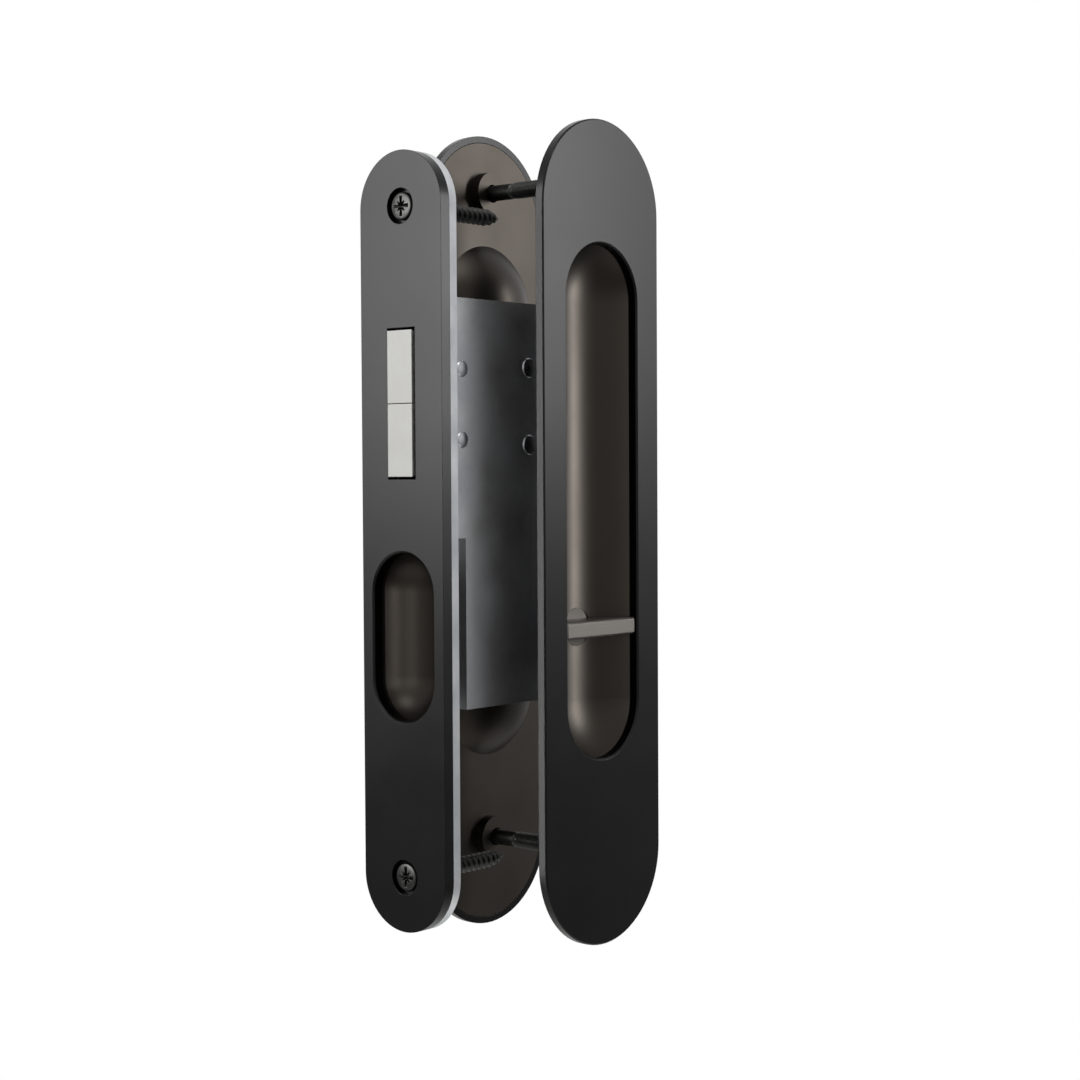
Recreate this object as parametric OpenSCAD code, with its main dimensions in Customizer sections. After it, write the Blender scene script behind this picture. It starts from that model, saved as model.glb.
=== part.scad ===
// Cavity sliding door lock: a mortice case with two spreading claw bolts, a faceplate with
// a finger cup in the door's edge, and a flush pull on each face of the door. The bar across
// the inner pull turns a square spindle, whose hub throws the bolts.
// X runs into the door from its edge, Y through its thickness and Z up. The origin is the
// centre of the forend's back face, where it seats in the edge of the door.

/* [Door] */
// Thickness of the door
door_t = 34.5; // [34:0.5:44]
// Edge of the door to the axis of the spindle
backset = 47.5; // [46.5:0.5:56]

/* [Faceplate and forend] */
// Width of the faceplate
plate_w = 25; // [24:0.5:28]
// Height of the faceplate
plate_h = 175; // [168:1:200]
// Thickness of the faceplate
plate_t = 2.8; // [2.4:0.1:3.2]
// Thickness of the forend behind it
forend_t = 2.2; // [2:0.1:2.8]
// Distance between the two faceplate screws
screw_span = 150.2; // [146:0.2:156]
// Width of the bolt slot
slot_w = 8.6; // [8.2:0.1:9.4]
// Height of the bolt slot
slot_h = 33.8; // [33.4:0.1:34.6]
// Centre of the faceplate up to the centre of the bolt slot
slot_rise = 31.2; // [30:0.2:34]

/* [Finger cup] */
// Width of the finger cup's mouth
cup_w = 18.5; // [17:0.5:19.5]
// Height of the finger cup's mouth
cup_h = 38; // [34:0.5:39]
// Depth of the finger cup behind the faceplate
cup_d = 7.5; // [6:0.5:8]
// Thickness of the finger cup's side wall
cup_wall = 1; // [0.8:0.1:1.2]
// Thickness of the finger cup's floor
cup_floor = 1.6; // [1.4:0.1:2]

/* [Case] */
// Width of the case across the door
case_w = 13; // [12.6:0.2:14]
// Axis of the spindle to the back of the case
case_behind = 19.5; // [18:0.5:26]
// Thickness of the case's sheet
case_wall = 1.2; // [1:0.1:1.4]
// Edge of the case above the centre of the bolt slot
case_over = 24; // [22.5:0.5:30]
// Edge of the case below the axis of the spindle
case_under = 17; // [16.5:0.5:22]
// Radius of the posts that carry the cover
post_r = 2.5; // [2:0.1:2.8]

/* [Claw bolts] */
// Thickness of each claw
claw_w = 7.5; // [7:0.1:7.6]
// Height of each claw's face
claw_h = 16.3; // [15.8:0.1:16.4]
// Claws' faces stand this far out of the faceplate
claw_proud = 0.5; // [0.2:0.1:0.8]
// Face of a claw to its pivot
claw_arm = 29.5; // [29:0.5:31]
// Travel of the bolts out of the edge
bolt_throw = 14; // [13:0.2:14]
// Angle that each claw spreads by as it comes out
claw_swing = 11; // [9:0.5:11]
// Length of the beak along the bolt
beak_l = 4; // [3:0.2:4]
// Height of the claw's shank behind the beak
shank_h = 11.6; // [11.4:0.1:12]

/* [Pulls] */
// Width of each pull
pull_w = 42.6; // [41:0.2:48]
// Height of each pull
pull_h = 194; // [186:1:220]
// Height that a pull stands off the door
pull_t = 2.2; // [1.9:0.1:3]
// Centre of the faceplate up to the centre of the pulls
pull_rise = 1.1; // [0:0.1:3]
// Width of the recess
recess_w = 26; // [25:0.2:28]
// Height of the recess
recess_h = 121; // [112:1:130]
// Centre of the pull up to the centre of the recess
recess_rise = 7.6; // [4:0.2:10]
// Depth of the trough behind the face of the door
trough_d = 6.3; // [5.5:0.1:6.8]
// Centre of the pull down to the axis of the turn
turn_drop = 22.2; // [20:0.2:24]
// Height of the turn's bar when it is level
bar_h = 3.9; // [3.4:0.1:4.4]
// Face of the bar behind the face of the pull
bar_sink = 0.5; // [0.3:0.1:0.9]

/* [Spindle and hub] */
// Side of the square spindle
spindle_w = 5; // [4.6:0.1:5.2]
// Radius of the hub's journals in the case
journal_r = 5.2; // [4.8:0.1:5.4]
// Radius of the hub's body
hub_r = 8; // [7.6:0.1:8.4]
// Radius of the drive pin
drive_r = 2; // [1.6:0.1:2.2]
// Radius of the stem of the turn and of the release
stem_r = 4.5; // [4.2:0.1:4.8]

/* [Hidden] */
$fn = 96;

// Overrun of a cut past the face that it opens
over = 1;
// Radial running clearance of a shaft in its bore
run_gap = 0.05;
// Clearance of a pin pressed into its hole
press_gap = 0.02;
// Clearance of a piece that drops into a recess
drop_gap = 0.1;
// Clearance between pieces that sweep past each other
sweep_gap = 0.25;

// Places that every piece follows
seat_x = plate_t + forend_t;
hub_x = backset - seat_x;
case_d = hub_x + case_behind;
pull_y = door_t / 2;
turn_z = pull_rise - turn_drop;
recess_z = recess_rise;

// Screws through the faceplate
fp_head_r = 3.15;
fp_head_t = 1.6;
fp_head_sink = 0.3;
fp_bore_r = 4;
fp_neck_r = 2.2;
fp_neck_over = 0.5;
fp_shank_r = 2;
fp_shank_l = 24;
fp_tip_l = 4;
cross_l = 3.6;
cross_w = 0.8;
cross_d = 1.1;

// Flange of the finger cup, let into the front of the forend
flange_lip = 1.1;
flange_t = 1;
rim_bevel = 0.4;
rim_flare = 0.25;

// Outline of the case, in X and Z
case_top = slot_rise + case_over;
case_bottom = turn_z - case_under;
step_x = cup_d + cup_floor - forend_t + 2 * over;
step_z = turn_z + cup_h / 2 + cup_wall + 2 * over;
case_outline = [
    [0, step_z], [0, case_top], [case_d, case_top],
    [case_d, case_bottom], [step_x, case_bottom], [step_x, step_z]
];
hollow_outline = [
    [0, step_z + case_wall], [0, case_top - case_wall],
    [case_d - case_wall, case_top - case_wall],
    [case_d - case_wall, case_bottom + case_wall],
    [step_x + case_wall, case_bottom + case_wall], [step_x + case_wall, step_z + case_wall]
];
hollow_w = case_w - 2 * case_wall;
// The cover ends behind a lip that stands on the forend
cover_x = case_wall + drop_gap;

// Posts stand this far in from the walls of the case
post_in = post_r + over;
post_places = [
    [post_in + over, case_top - case_wall - post_in],
    [case_d - case_wall - post_in, case_top - case_wall - post_in],
    [case_d - case_wall - post_in, case_bottom + case_wall + post_in],
    [step_x + case_wall + post_in, case_bottom + case_wall + post_in]
];
post_bore_r = 1.3;
cs_head_r = 2.3;
cs_head_t = 0.9;
cs_shank_r = 1.25;
cs_shank_l = 7;
cs_slot_w = 0.6;
cs_slot_d = 0.5;

// Claws, pivots and the fixed pins that spread them
claw_face_x = -seat_x - claw_proud;
pivot_x = claw_face_x + claw_arm;
pivot_r = 1.75;
pivot_off = 2.9;
split_gap = 0.1;
claw_tail = pivot_off - split_gap;
beak_drop = 1.2;
beak_x = claw_face_x + beak_l;
spreader_r = 1.5;
spreader_off = 8;
spreader_x = 8;
path_steps = 12;

// Carriage that slides the claws
cheek_t = 1.2;
cheek_gap = 0.1;
cheek_in = claw_w / 2 + cheek_gap;
cheek_out = cheek_in + cheek_t;
guide_r = 2;
guide_off = 9;
guide_back = 7;
guide_x = pivot_x + guide_back;
edge_w = 2;
tongue_h = pivot_off + pivot_r + 1.5 * over;
tongue_x = pivot_x - pivot_r - 2 * over;
body_h = guide_off + guide_r + edge_w;
body_x = guide_x - guide_r - sweep_gap - edge_w;
crank_r = bolt_throw / sqrt(2);
crank_side = bolt_throw / 2;
fork_x = hub_x + crank_side;
// The pin runs on a circle and the fork on a line, so the fork is this much wider
fork_gap = 0.4;
fork_half = drive_r + fork_gap;
leg_half = fork_half + 2 * edge_w / 1.5;
carriage_end = max(fork_x + leg_half, guide_x + bolt_throw + guide_r + sweep_gap + edge_w);
shoulder_r = journal_r + 0.9 * over;
leg_z = turn_z + shoulder_r + 2 * press_gap + sweep_gap;
fork_top = turn_z + crank_r + drive_r + sweep_gap;

// Hub, its arm and its detent
hub_w = 2 * cheek_in - 2 * sweep_gap;
arm_half = drive_r + over;
flat_off = hub_r - 0.8 * over;
spring_t = 0.5;
spring_w = 6;
spring_foot = 4;
spring_flat = 5;
spring_lean = 3;
square_gap = 0.05;

// Pulls, drawn with Z out of the door's face
base_t = 1.1;
cover_rim = 1.6;
cover_lip = 1.2;
cover_bevel = 0.3;
body_wall = 2.4;
shell_t = 1.5;
pad_r = 8;
stem_hole_r = stem_r + run_gap;
stem_proud = 0.15;
stem_end = pull_y - case_w / 2 - 0.5 * over;
socket_skin = 0.3;
bar_gap = 0.25;
bar_bevel = 0.4;
washer_r = 7;
washer_t = 0.4;
clip_t = 0.7;
clip_r = 6.4;
groove_r = 3.7;
groove_gap = 0.05;
washer_top = trough_d + shell_t;
groove_top = washer_top + washer_t + groove_gap;

// Emergency release in the outer pull
release_r = 6;
release_t = 1.6;
release_pad_r = 7;
release_pad_t = 1.3;
coin_w = 1.4;
coin_d = 1;

// Screws that clamp the pulls through the door
clamp_r = 2;
clamp_hole_r = 2.2;
clamp_head_r = 4;
clamp_head_t = 2.2;
clamp_sleeve_r = 4;
clamp_sleeve_l = 12;
clamp_boss_r = 5.2;
clamp_boss_t = 2.4;
clamp_tip = 4;
base_w = pull_w - 2 * (cover_rim + drop_gap);
base_h = pull_h - 2 * (cover_rim + drop_gap);
body_w = recess_w + 2 * body_wall;
body_len = recess_h + 2 * body_wall;
clamp_up = (recess_z + body_len / 2 + base_h / 2) / 2;
clamp_down = (recess_z - body_len / 2 - base_h / 2) / 2;

// The bend of a trough runs out past the mouth, which leaves a short upright wall at the rim
function trough_r(w, d) = let (half_w = w / 2 + rim_flare) (half_w * half_w + d * d) / (2 * d);
function turned(p, a) = [p[0] * cos(a) + p[1] * sin(a), p[1] * cos(a) - p[0] * sin(a)];
function unit(p) = p / norm(p);

// Where the fixed spreader pin lies in the upper claw at a share of the travel
function pin_at(share) = let (
    reach = [spreader_x - pivot_x + bolt_throw * share, spreader_off - pivot_off],
    spot = turned(reach, -claw_swing * share)
) [pivot_x + spot[0], pivot_off + spot[1]];
function path_side(share, side_r) = let (
    step_share = 1 / path_steps,
    along = unit(pin_at(share + step_share) - pin_at(share - step_share))
) pin_at(share) + [-along[1], along[0]] * side_r;

// Flat plate or prism with semicircular ends, on the XY plane
module stadium_2d(w, h) {
    square([w, h - w], center = true);
    for (side = [-1, 1])
        translate([0, side * (h - w) / 2])
            circle(d = w);
}

module stadium(w, h, t) {
    linear_extrude(t)
        stadium_2d(w, h);
}

// The same outline, whose width runs from w1 to w2 over the height t
module stadium_taper(w1, w2, span, t) {
    for (side = [-1, 1])
        translate([0, side * span / 2, 0])
            cylinder(d1 = w1, d2 = w2, h = t);
    translate([0, span / 2, 0])
        rotate([90, 0, 0])
            linear_extrude(span)
                polygon([[-w1 / 2, 0], [w1 / 2, 0], [w2 / 2, t], [-w2 / 2, t]]);
}

// Long trough with bowl ends: the side of an upright cylinder with a ball at each end, d deep
// over the width w, cut by the outline of w and h, with side walls and a floor where it is
// drawn from outside, and its top at z
module trough(w, h, d, side_wall, floor_t, top) {
    bend_r = trough_r(w, d);
    intersection() {
        translate([0, 0, -d - floor_t])
            stadium(w + 2 * side_wall, h + 2 * side_wall, d + floor_t + top);
        translate([0, 0, bend_r - d])
            rotate([90, 0, 0]) {
                cylinder(r = bend_r + floor_t, h = h - w, center = true);
                for (side = [-1, 1])
                    translate([0, 0, side * (h - w) / 2])
                        sphere(r = bend_r + floor_t);
            }
    }
}

// Turns a drawing on the XY plane to the door's edge: x to Y, y to Z and z to X
module on_edge() {
    rotate([90, 0, 90])
        children();
}

// Puts a drawing on the inner face of the door, z towards the room
module on_inner_face() {
    translate([hub_x, -pull_y, pull_rise])
        rotate([90, 0, 0])
            children();
}

module on_outer_face() {
    mirror([0, 1, 0])
        on_inner_face()
            children();
}

// Extrudes an X and Z profile through the case, centred on the door
module across(t) {
    rotate([90, 0, 0])
        translate([0, 0, -t / 2])
            linear_extrude(t)
                children();
}

module across_pin(x, z, r, l) {
    translate([x, 0, z])
        rotate([90, 0, 0])
            cylinder(r = r, h = l, center = true);
}

// Profile that sits on one side of the case, from y0 to y1
module sheet_at(y0, y1) {
    translate([0, y1, 0])
        rotate([90, 0, 0])
            linear_extrude(y1 - y0)
                children();
}

module faceplate() {
    color("#3f3f3f")
        on_edge()
            translate([0, 0, -seat_x])
                difference() {
                    stadium(plate_w, plate_h, plate_t);
                    translate([0, slot_rise, plate_t / 2])
                        cube([slot_w, slot_h, plate_t + 2 * over], center = true);
                    translate([0, turn_z, -over])
                        stadium(cup_w, cup_h, plate_t + 2 * over);
                    translate([0, turn_z, 0])
                        stadium_taper(cup_w + 2 * rim_bevel, cup_w, cup_h - cup_w, rim_bevel);
                    for (side = [-1, 1])
                        translate([0, side * screw_span / 2, 0]) {
                            translate([0, 0, -over])
                                cylinder(r = fp_neck_r + drop_gap, h = plate_t + 2 * over);
                            translate([0, 0, -over])
                                cylinder(r = fp_bore_r, h = fp_head_t + fp_head_sink + over);
                        }
                }
}

module cross_recess() {
    for (a = [0, 90])
        rotate(a)
            cube([cross_l, cross_w, 2 * cross_d], center = true);
}

module faceplate_screws() {
    color("#7d7d7d")
        on_edge()
            for (side = [-1, 1])
                translate([0, side * screw_span / 2, fp_head_sink - seat_x])
                    difference() {
                        union() {
                            cylinder(r = fp_head_r, h = fp_head_t);
                            cylinder(r = fp_neck_r, h = seat_x - fp_head_sink + fp_neck_over);
                            cylinder(r = fp_shank_r, h = seat_x + fp_shank_l);
                            translate([0, 0, seat_x + fp_shank_l])
                                cylinder(r1 = fp_shank_r, r2 = 0, h = fp_tip_l);
                        }
                        rotate(45)
                            cross_recess();
                    }
}

module finger_cup() {
    tube_w = cup_w + 2 * cup_wall;
    tube_h = cup_h + 2 * cup_wall;
    color("#4a4541")
        on_edge()
            translate([0, turn_z, -forend_t])
                difference() {
                    union() {
                        stadium(tube_w + 2 * flange_lip, tube_h + 2 * flange_lip, flange_t);
                        rotate([0, 180, 0])
                            trough(cup_w, cup_h, cup_d, cup_wall, cup_floor, 0);
                    }
                    rotate([0, 180, 0])
                        trough(cup_w, cup_h, cup_d, 0, 0, over);
                }
}

module forend() {
    tube_w = cup_w + 2 * (cup_wall + drop_gap);
    tube_h = cup_h + 2 * (cup_wall + drop_gap);
    on_edge()
        translate([0, 0, -forend_t])
            difference() {
                stadium(plate_w, plate_h, forend_t);
                translate([0, slot_rise, 0])
                    cube([slot_w, slot_h + 2 * sweep_gap, 3 * forend_t], center = true);
                translate([0, turn_z, -over])
                    stadium(tube_w, tube_h, forend_t + 2 * over);
                translate([0, turn_z, -over])
                    stadium(tube_w + 2 * flange_lip, tube_h + 2 * flange_lip, flange_t + over);
                for (side = [-1, 1])
                    translate([0, side * screw_span / 2, -over])
                        cylinder(r = fp_neck_r + drop_gap, h = forend_t + 2 * over);
            }
}

// Forend with the case's tray welded to its back
module lock_case() {
    color("#c9cacb") {
        difference() {
            union() {
                forend();
                sheet_at(-case_w / 2, hollow_w / 2)
                    polygon(case_outline);
            }
            sheet_at(-hollow_w / 2, case_w / 2 + over)
                polygon(hollow_outline);
            across_pin(hub_x, turn_z, journal_r + run_gap, 2 * case_w);
            fixed_pin_holes();
        }
        // Lip that the cover butts against
        translate([-over, hollow_w / 2, step_z])
            cube([case_wall + over, case_wall, case_top - step_z]);
    }
}

// Holes in the case and its cover for the riveted pins
module fixed_pin_holes() {
    for (side = [-1, 1]) {
        across_pin(spreader_x, slot_rise + side * spreader_off, spreader_r + press_gap, 2 * case_w);
        across_pin(guide_x, slot_rise + side * guide_off, guide_r + press_gap, 2 * case_w);
    }
}

module case_cover() {
    color("#bfc1c3")
        difference() {
            sheet_at(hollow_w / 2, case_w / 2)
                polygon([
                    [cover_x, step_z], [cover_x, case_top], [case_d, case_top],
                    [case_d, case_bottom], [step_x, case_bottom], [step_x, step_z]
                ]);
            across_pin(hub_x, turn_z, journal_r + run_gap, 2 * case_w);
            fixed_pin_holes();
            for (spot = post_places)
                translate([spot[0], case_w / 2, spot[1]])
                    rotate([90, 0, 0])
                        case_screw_cut();
        }
}

module case_screw_cut() {
    translate([0, 0, -over])
        cylinder(r = cs_shank_r + drop_gap, h = case_w);
    cylinder(r1 = cs_head_r + drop_gap, r2 = cs_shank_r + drop_gap, h = cs_head_t);
}

module case_posts() {
    color("#a9abad")
        for (spot = post_places)
            translate([spot[0], hollow_w / 2, spot[1]])
                rotate([90, 0, 0])
                    difference() {
                        cylinder(r = post_r, h = hollow_w);
                        translate([0, 0, -over])
                            cylinder(r = post_bore_r, h = cs_shank_l + 2 * over);
                    }
}

module case_screws() {
    color("#8f9193")
        for (spot = post_places)
            translate([spot[0], case_w / 2, spot[1]])
                rotate([90, 0, 0])
                    difference() {
                        union() {
                            cylinder(r1 = cs_head_r, r2 = cs_shank_r, h = cs_head_t);
                            cylinder(r = cs_shank_r, h = cs_shank_l);
                        }
                        cube([2 * cs_head_r + over, cs_slot_w, 2 * cs_slot_d], center = true);
                    }
}

module spreader_pins() {
    color("#8b8d90")
        for (side = [-1, 1])
            across_pin(spreader_x, slot_rise + side * spreader_off, spreader_r, case_w);
}

module guide_pins() {
    color("#8b8d90")
        for (side = [-1, 1])
            across_pin(guide_x, slot_rise + side * guide_off, guide_r, case_w);
}

// Bent strip on the floor of the case that presses on the flats of the hub
module detent_spring() {
    floor_z = case_bottom + case_wall;
    top_z = turn_z - flat_off - drop_gap;
    lean_x = spring_flat + spring_lean;
    color("#9a9c9f")
        translate([hub_x, 0, 0])
            across(spring_w)
                polygon([
                    [-lean_x - spring_foot, floor_z], [-lean_x + spring_t, floor_z],
                    [-spring_flat + spring_t, top_z - spring_t],
                    [spring_flat - spring_t, top_z - spring_t],
                    [lean_x - spring_t, floor_z], [lean_x + spring_foot, floor_z],
                    [lean_x + spring_foot, floor_z + spring_t], [lean_x, floor_z + spring_t],
                    [spring_flat, top_z], [-spring_flat, top_z],
                    [-lean_x, floor_z + spring_t], [-lean_x - spring_foot, floor_z + spring_t]
                ]);
}

// One cheek of the carriage: tongue for the claws, body with guide slots, leg with the fork
module cheek_2d() {
    difference() {
        polygon([
            [tongue_x, slot_rise - tongue_h], [body_x, slot_rise - tongue_h],
            [body_x, slot_rise - body_h], [fork_x - leg_half, slot_rise - body_h],
            [fork_x - leg_half, leg_z], [fork_x + leg_half, leg_z],
            [fork_x + leg_half, slot_rise - body_h], [carriage_end, slot_rise - body_h],
            [carriage_end, slot_rise + body_h], [body_x, slot_rise + body_h],
            [body_x, slot_rise + tongue_h], [tongue_x, slot_rise + tongue_h]
        ]);
        for (side = [-1, 1])
            translate([pivot_x, slot_rise + side * pivot_off])
                circle(r = pivot_r + press_gap);
        for (side = [-1, 1])
            translate([guide_x + bolt_throw / 2, slot_rise + side * guide_off])
                rotate(90)
                    stadium_2d(2 * (guide_r + sweep_gap), bolt_throw + 2 * (guide_r + sweep_gap));
        translate([fork_x - fork_half, leg_z - over])
            square([2 * fork_half, fork_top - fork_half - leg_z + over]);
        translate([fork_x, fork_top - fork_half])
            circle(r = fork_half);
    }
}

module bolt_carriage() {
    color("#b4b6b8") {
        sheet_at(cheek_in, cheek_out)
            cheek_2d();
        sheet_at(-cheek_out, -cheek_in)
            cheek_2d();
        translate([carriage_end - cheek_t, -cheek_in, slot_rise - body_h])
            cube([cheek_t, 2 * cheek_in, 2 * body_h]);
    }
}

module claw_pivots() {
    color("#8b8d90")
        for (side = [-1, 1])
            across_pin(pivot_x, slot_rise + side * pivot_off, pivot_r, 2 * cheek_out);
}

// Path that the spreader pin takes through the claw, a hair narrower between its round ends
module pin_path_2d() {
    end_r = spreader_r + sweep_gap;
    side_r = end_r - 2 * press_gap;
    shares = [for (i = [0 : path_steps]) i / path_steps];
    polygon(concat(
        [for (share = shares) path_side(share, side_r)],
        [for (i = [path_steps : -1 : 0]) path_side(shares[i], -side_r)]
    ));
    for (share = [0, 1])
        translate(pin_at(share))
            circle(r = end_r);
}

// Upper claw, with z from the centre of the slot. Its tail rises behind the pivot, so that it
// stays clear of the other claw's when both swing.
module claw() {
    across(claw_w)
        difference() {
            polygon([
                [claw_face_x, split_gap], [claw_face_x, claw_h],
                [beak_x, claw_h - beak_drop], [beak_x, shank_h],
                [pivot_x, shank_h], [pivot_x + claw_tail, shank_h - claw_tail],
                [pivot_x + claw_tail, split_gap + claw_tail * tan(claw_swing)],
                [pivot_x, split_gap]
            ]);
            pin_path_2d();
            translate([pivot_x, pivot_off])
                circle(r = pivot_r + run_gap);
        }
}

module upper_claw() {
    color("#cfcfca")
        translate([0, 0, slot_rise])
            claw();
}

module lower_claw() {
    color("#cfcfca")
        translate([0, 0, slot_rise])
            mirror([0, 0, 1])
                claw();
}

// Hub with two flats for the spring and an arm that leans 45 degrees back at rest
module hub_2d() {
    intersection() {
        circle(r = hub_r);
        translate([-flat_off, -flat_off])
            square(3 * hub_r);
    }
    rotate(45)
        translate([0, -arm_half])
            square([crank_r, 2 * arm_half]);
    translate([crank_side, crank_side])
        circle(r = arm_half);
}

module hub() {
    color("#a2a4a6")
        difference() {
            union() {
                across_pin(hub_x, turn_z, journal_r, case_w);
                across_pin(hub_x, turn_z, shoulder_r, hollow_w - 2 * drop_gap);
                translate([hub_x, 0, turn_z])
                    across(hub_w)
                        hub_2d();
            }
            across_pin(fork_x, turn_z + crank_side, drive_r + press_gap, 2 * case_w);
            translate([hub_x, 0, turn_z])
                cube([spindle_w + 2 * square_gap, 2 * case_w, spindle_w + 2 * square_gap], center = true);
        }
}

module drive_pin() {
    color("#8b8d90")
        across_pin(fork_x, turn_z + crank_side, drive_r, 2 * cheek_out);
}

module spindle() {
    spindle_end = pull_y - trough_d - socket_skin - drop_gap;
    color("#9fa1a3")
        translate([hub_x, 0, turn_z])
            cube([spindle_w, 2 * spindle_end, spindle_w], center = true);
}

// Stem that runs back through the trough's floor, with a clip groove and a square socket
module stem(front) {
    difference() {
        translate([0, 0, -stem_end])
            cylinder(r = stem_r, h = stem_end - front);
        difference() {
            translate([0, 0, -groove_top - clip_t - 2 * groove_gap])
                cylinder(r = stem_r + over, h = clip_t + 2 * groove_gap);
            translate([0, 0, -stem_end])
                cylinder(r = groove_r, h = stem_end);
        }
        translate([0, 0, -trough_d - socket_skin - stem_end / 2])
            cube([spindle_w + 2 * square_gap, spindle_w + 2 * square_gap, stem_end], center = true);
    }
}

// Bar whose back follows a ball, so that it turns inside the trough
module turn_bar() {
    bend_r = trough_r(recess_w, trough_d);
    face_z = pull_t - bar_sink;
    end_r = recess_w / 2 - bar_gap;
    color("#6f6b66")
        on_inner_face()
            translate([0, -turn_drop, 0]) {
                intersection() {
                    rotate([90, 0, 90])
                        translate([0, 0, -recess_w])
                            linear_extrude(2 * recess_w)
                                polygon([
                                    [-bar_h / 2, -trough_d - over], [bar_h / 2, -trough_d - over],
                                    [bar_h / 2, face_z - bar_bevel],
                                    [bar_h / 2 - bar_bevel, face_z],
                                    [bar_bevel - bar_h / 2, face_z],
                                    [-bar_h / 2, face_z - bar_bevel]
                                ]);
                    translate([0, 0, bend_r - trough_d])
                        sphere(r = bend_r - bar_gap);
                    union() {
                        translate([0, 0, -trough_d - over])
                            cylinder(r = end_r, h = trough_d + over + face_z - bar_bevel);
                        translate([0, 0, face_z - bar_bevel])
                            cylinder(r1 = end_r, r2 = end_r - bar_bevel, h = bar_bevel);
                    }
                }
                stem(trough_d - stem_proud);
                // Root of the stem inside the bar
                translate([0, 0, -trough_d])
                    cylinder(r = bar_h / 2 - bar_bevel, h = trough_d / 2);
            }
}

module retaining_clip() {
    translate([0, -turn_drop, -groove_top - groove_gap - clip_t])
        difference() {
            cylinder(r = clip_r, h = clip_t);
            translate([0, 0, -over])
                cylinder(r = groove_r + groove_gap, h = clip_t + 2 * over);
            translate([-groove_r, -clip_r - over, -over])
                cube([2 * groove_r, clip_r + over, clip_t + 2 * over]);
        }
}

module stem_washer() {
    translate([0, -turn_drop, -washer_top - washer_t])
        difference() {
            cylinder(r = washer_r, h = washer_t);
            translate([0, 0, -over])
                cylinder(r = stem_hole_r, h = washer_t + 2 * over);
        }
}

module turn_clip() {
    color("#8b8d90")
        on_inner_face()
            retaining_clip();
}

module turn_washer() {
    color("#b4b6b8")
        on_inner_face()
            stem_washer();
}

module release_clip() {
    color("#8b8d90")
        on_outer_face()
            retaining_clip();
}

module release_washer() {
    color("#b4b6b8")
        on_outer_face()
            stem_washer();
}

// Cast shell of a pull: base flange, trough and the pad that the stem runs through
module pull_shell() {
    difference() {
        union() {
            difference() {
                stadium(base_w, base_h, base_t);
                translate([0, recess_z, -over])
                    stadium(
                        recess_w + 2 * (cover_lip + drop_gap),
                        recess_h + 2 * (cover_lip + drop_gap), base_t + 2 * over
                    );
            }
            translate([0, recess_z, 0])
                trough(recess_w, recess_h, trough_d, body_wall, shell_t, 0);
            translate([0, -turn_drop, -trough_d - shell_t])
                cylinder(r = pad_r, h = trough_d);
        }
        translate([0, recess_z, 0])
            trough(recess_w, recess_h, trough_d, 0, 0, over);
    }
}

module inner_pull_body() {
    color("#55504b")
        on_inner_face()
            difference() {
                union() {
                    pull_shell();
                    for (y = [clamp_up, clamp_down])
                        translate([0, y, -clamp_sleeve_l])
                            cylinder(r = clamp_sleeve_r, h = clamp_sleeve_l + base_t);
                }
                translate([0, -turn_drop, -stem_end])
                    cylinder(r = stem_hole_r, h = stem_end);
                for (y = [clamp_up, clamp_down])
                    translate([0, y, -clamp_sleeve_l - over])
                        cylinder(r = clamp_r + run_gap, h = clamp_sleeve_l);
            }
}

module outer_pull_body() {
    color("#55504b")
        on_outer_face()
            difference() {
                union() {
                    pull_shell();
                    translate([0, -turn_drop, -trough_d - over / 2])
                        cylinder(r = release_pad_r, h = release_pad_t + over / 2);
                    for (y = [clamp_up, clamp_down])
                        translate([0, y, -clamp_boss_t])
                            cylinder(r = clamp_boss_r, h = clamp_boss_t + base_t);
                }
                translate([0, -turn_drop, -stem_end])
                    cylinder(r = stem_hole_r, h = 2 * stem_end);
                for (y = [clamp_up, clamp_down])
                    translate([0, y, 0]) {
                        translate([0, 0, -clamp_boss_t - over])
                            cylinder(r = clamp_hole_r, h = clamp_boss_t + base_t + 2 * over);
                        translate([0, 0, base_t - drop_gap - clamp_head_t])
                            cylinder(r1 = clamp_hole_r, r2 = clamp_head_r + drop_gap, h = clamp_head_t);
                        translate([0, 0, base_t - drop_gap])
                            cylinder(r = clamp_head_r + drop_gap, h = over);
                    }
            }
}

// Cover that snaps over the base, with the mouth of the recess through it
module pull_cover() {
    difference() {
        union() {
            stadium(pull_w, pull_h, pull_t - cover_bevel);
            translate([0, 0, pull_t - cover_bevel])
                stadium_taper(pull_w, pull_w - 2 * cover_bevel, pull_h - pull_w, cover_bevel);
        }
        difference() {
            translate([0, 0, -over])
                stadium(pull_w - 2 * cover_rim, pull_h - 2 * cover_rim, base_t + over);
            translate([0, recess_z, -2 * over])
                stadium(
                    recess_w + 2 * cover_lip, recess_h + 2 * cover_lip, base_t + 3 * over
                );
        }
        translate([0, recess_z, -over])
            stadium(recess_w, recess_h, pull_t + 2 * over);
        translate([0, recess_z, pull_t - rim_bevel])
            stadium_taper(recess_w, recess_w + 2 * rim_bevel, recess_h - recess_w, rim_bevel);
    }
}

module inner_pull_cover() {
    color("#3f3f3f")
        on_inner_face()
            pull_cover();
}

module outer_pull_cover() {
    color("#3f3f3f")
        on_outer_face()
            pull_cover();
}

module emergency_release() {
    head_z = release_pad_t - trough_d;
    color("#6f6b66")
        on_outer_face()
            translate([0, -turn_drop, 0])
                difference() {
                    union() {
                        translate([0, 0, head_z])
                            cylinder(r = release_r, h = release_t);
                        stem(-head_z);
                    }
                    translate([0, 0, head_z + release_t])
                        cube([2 * release_r + over, coin_w, 2 * coin_d], center = true);
                }
}

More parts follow.
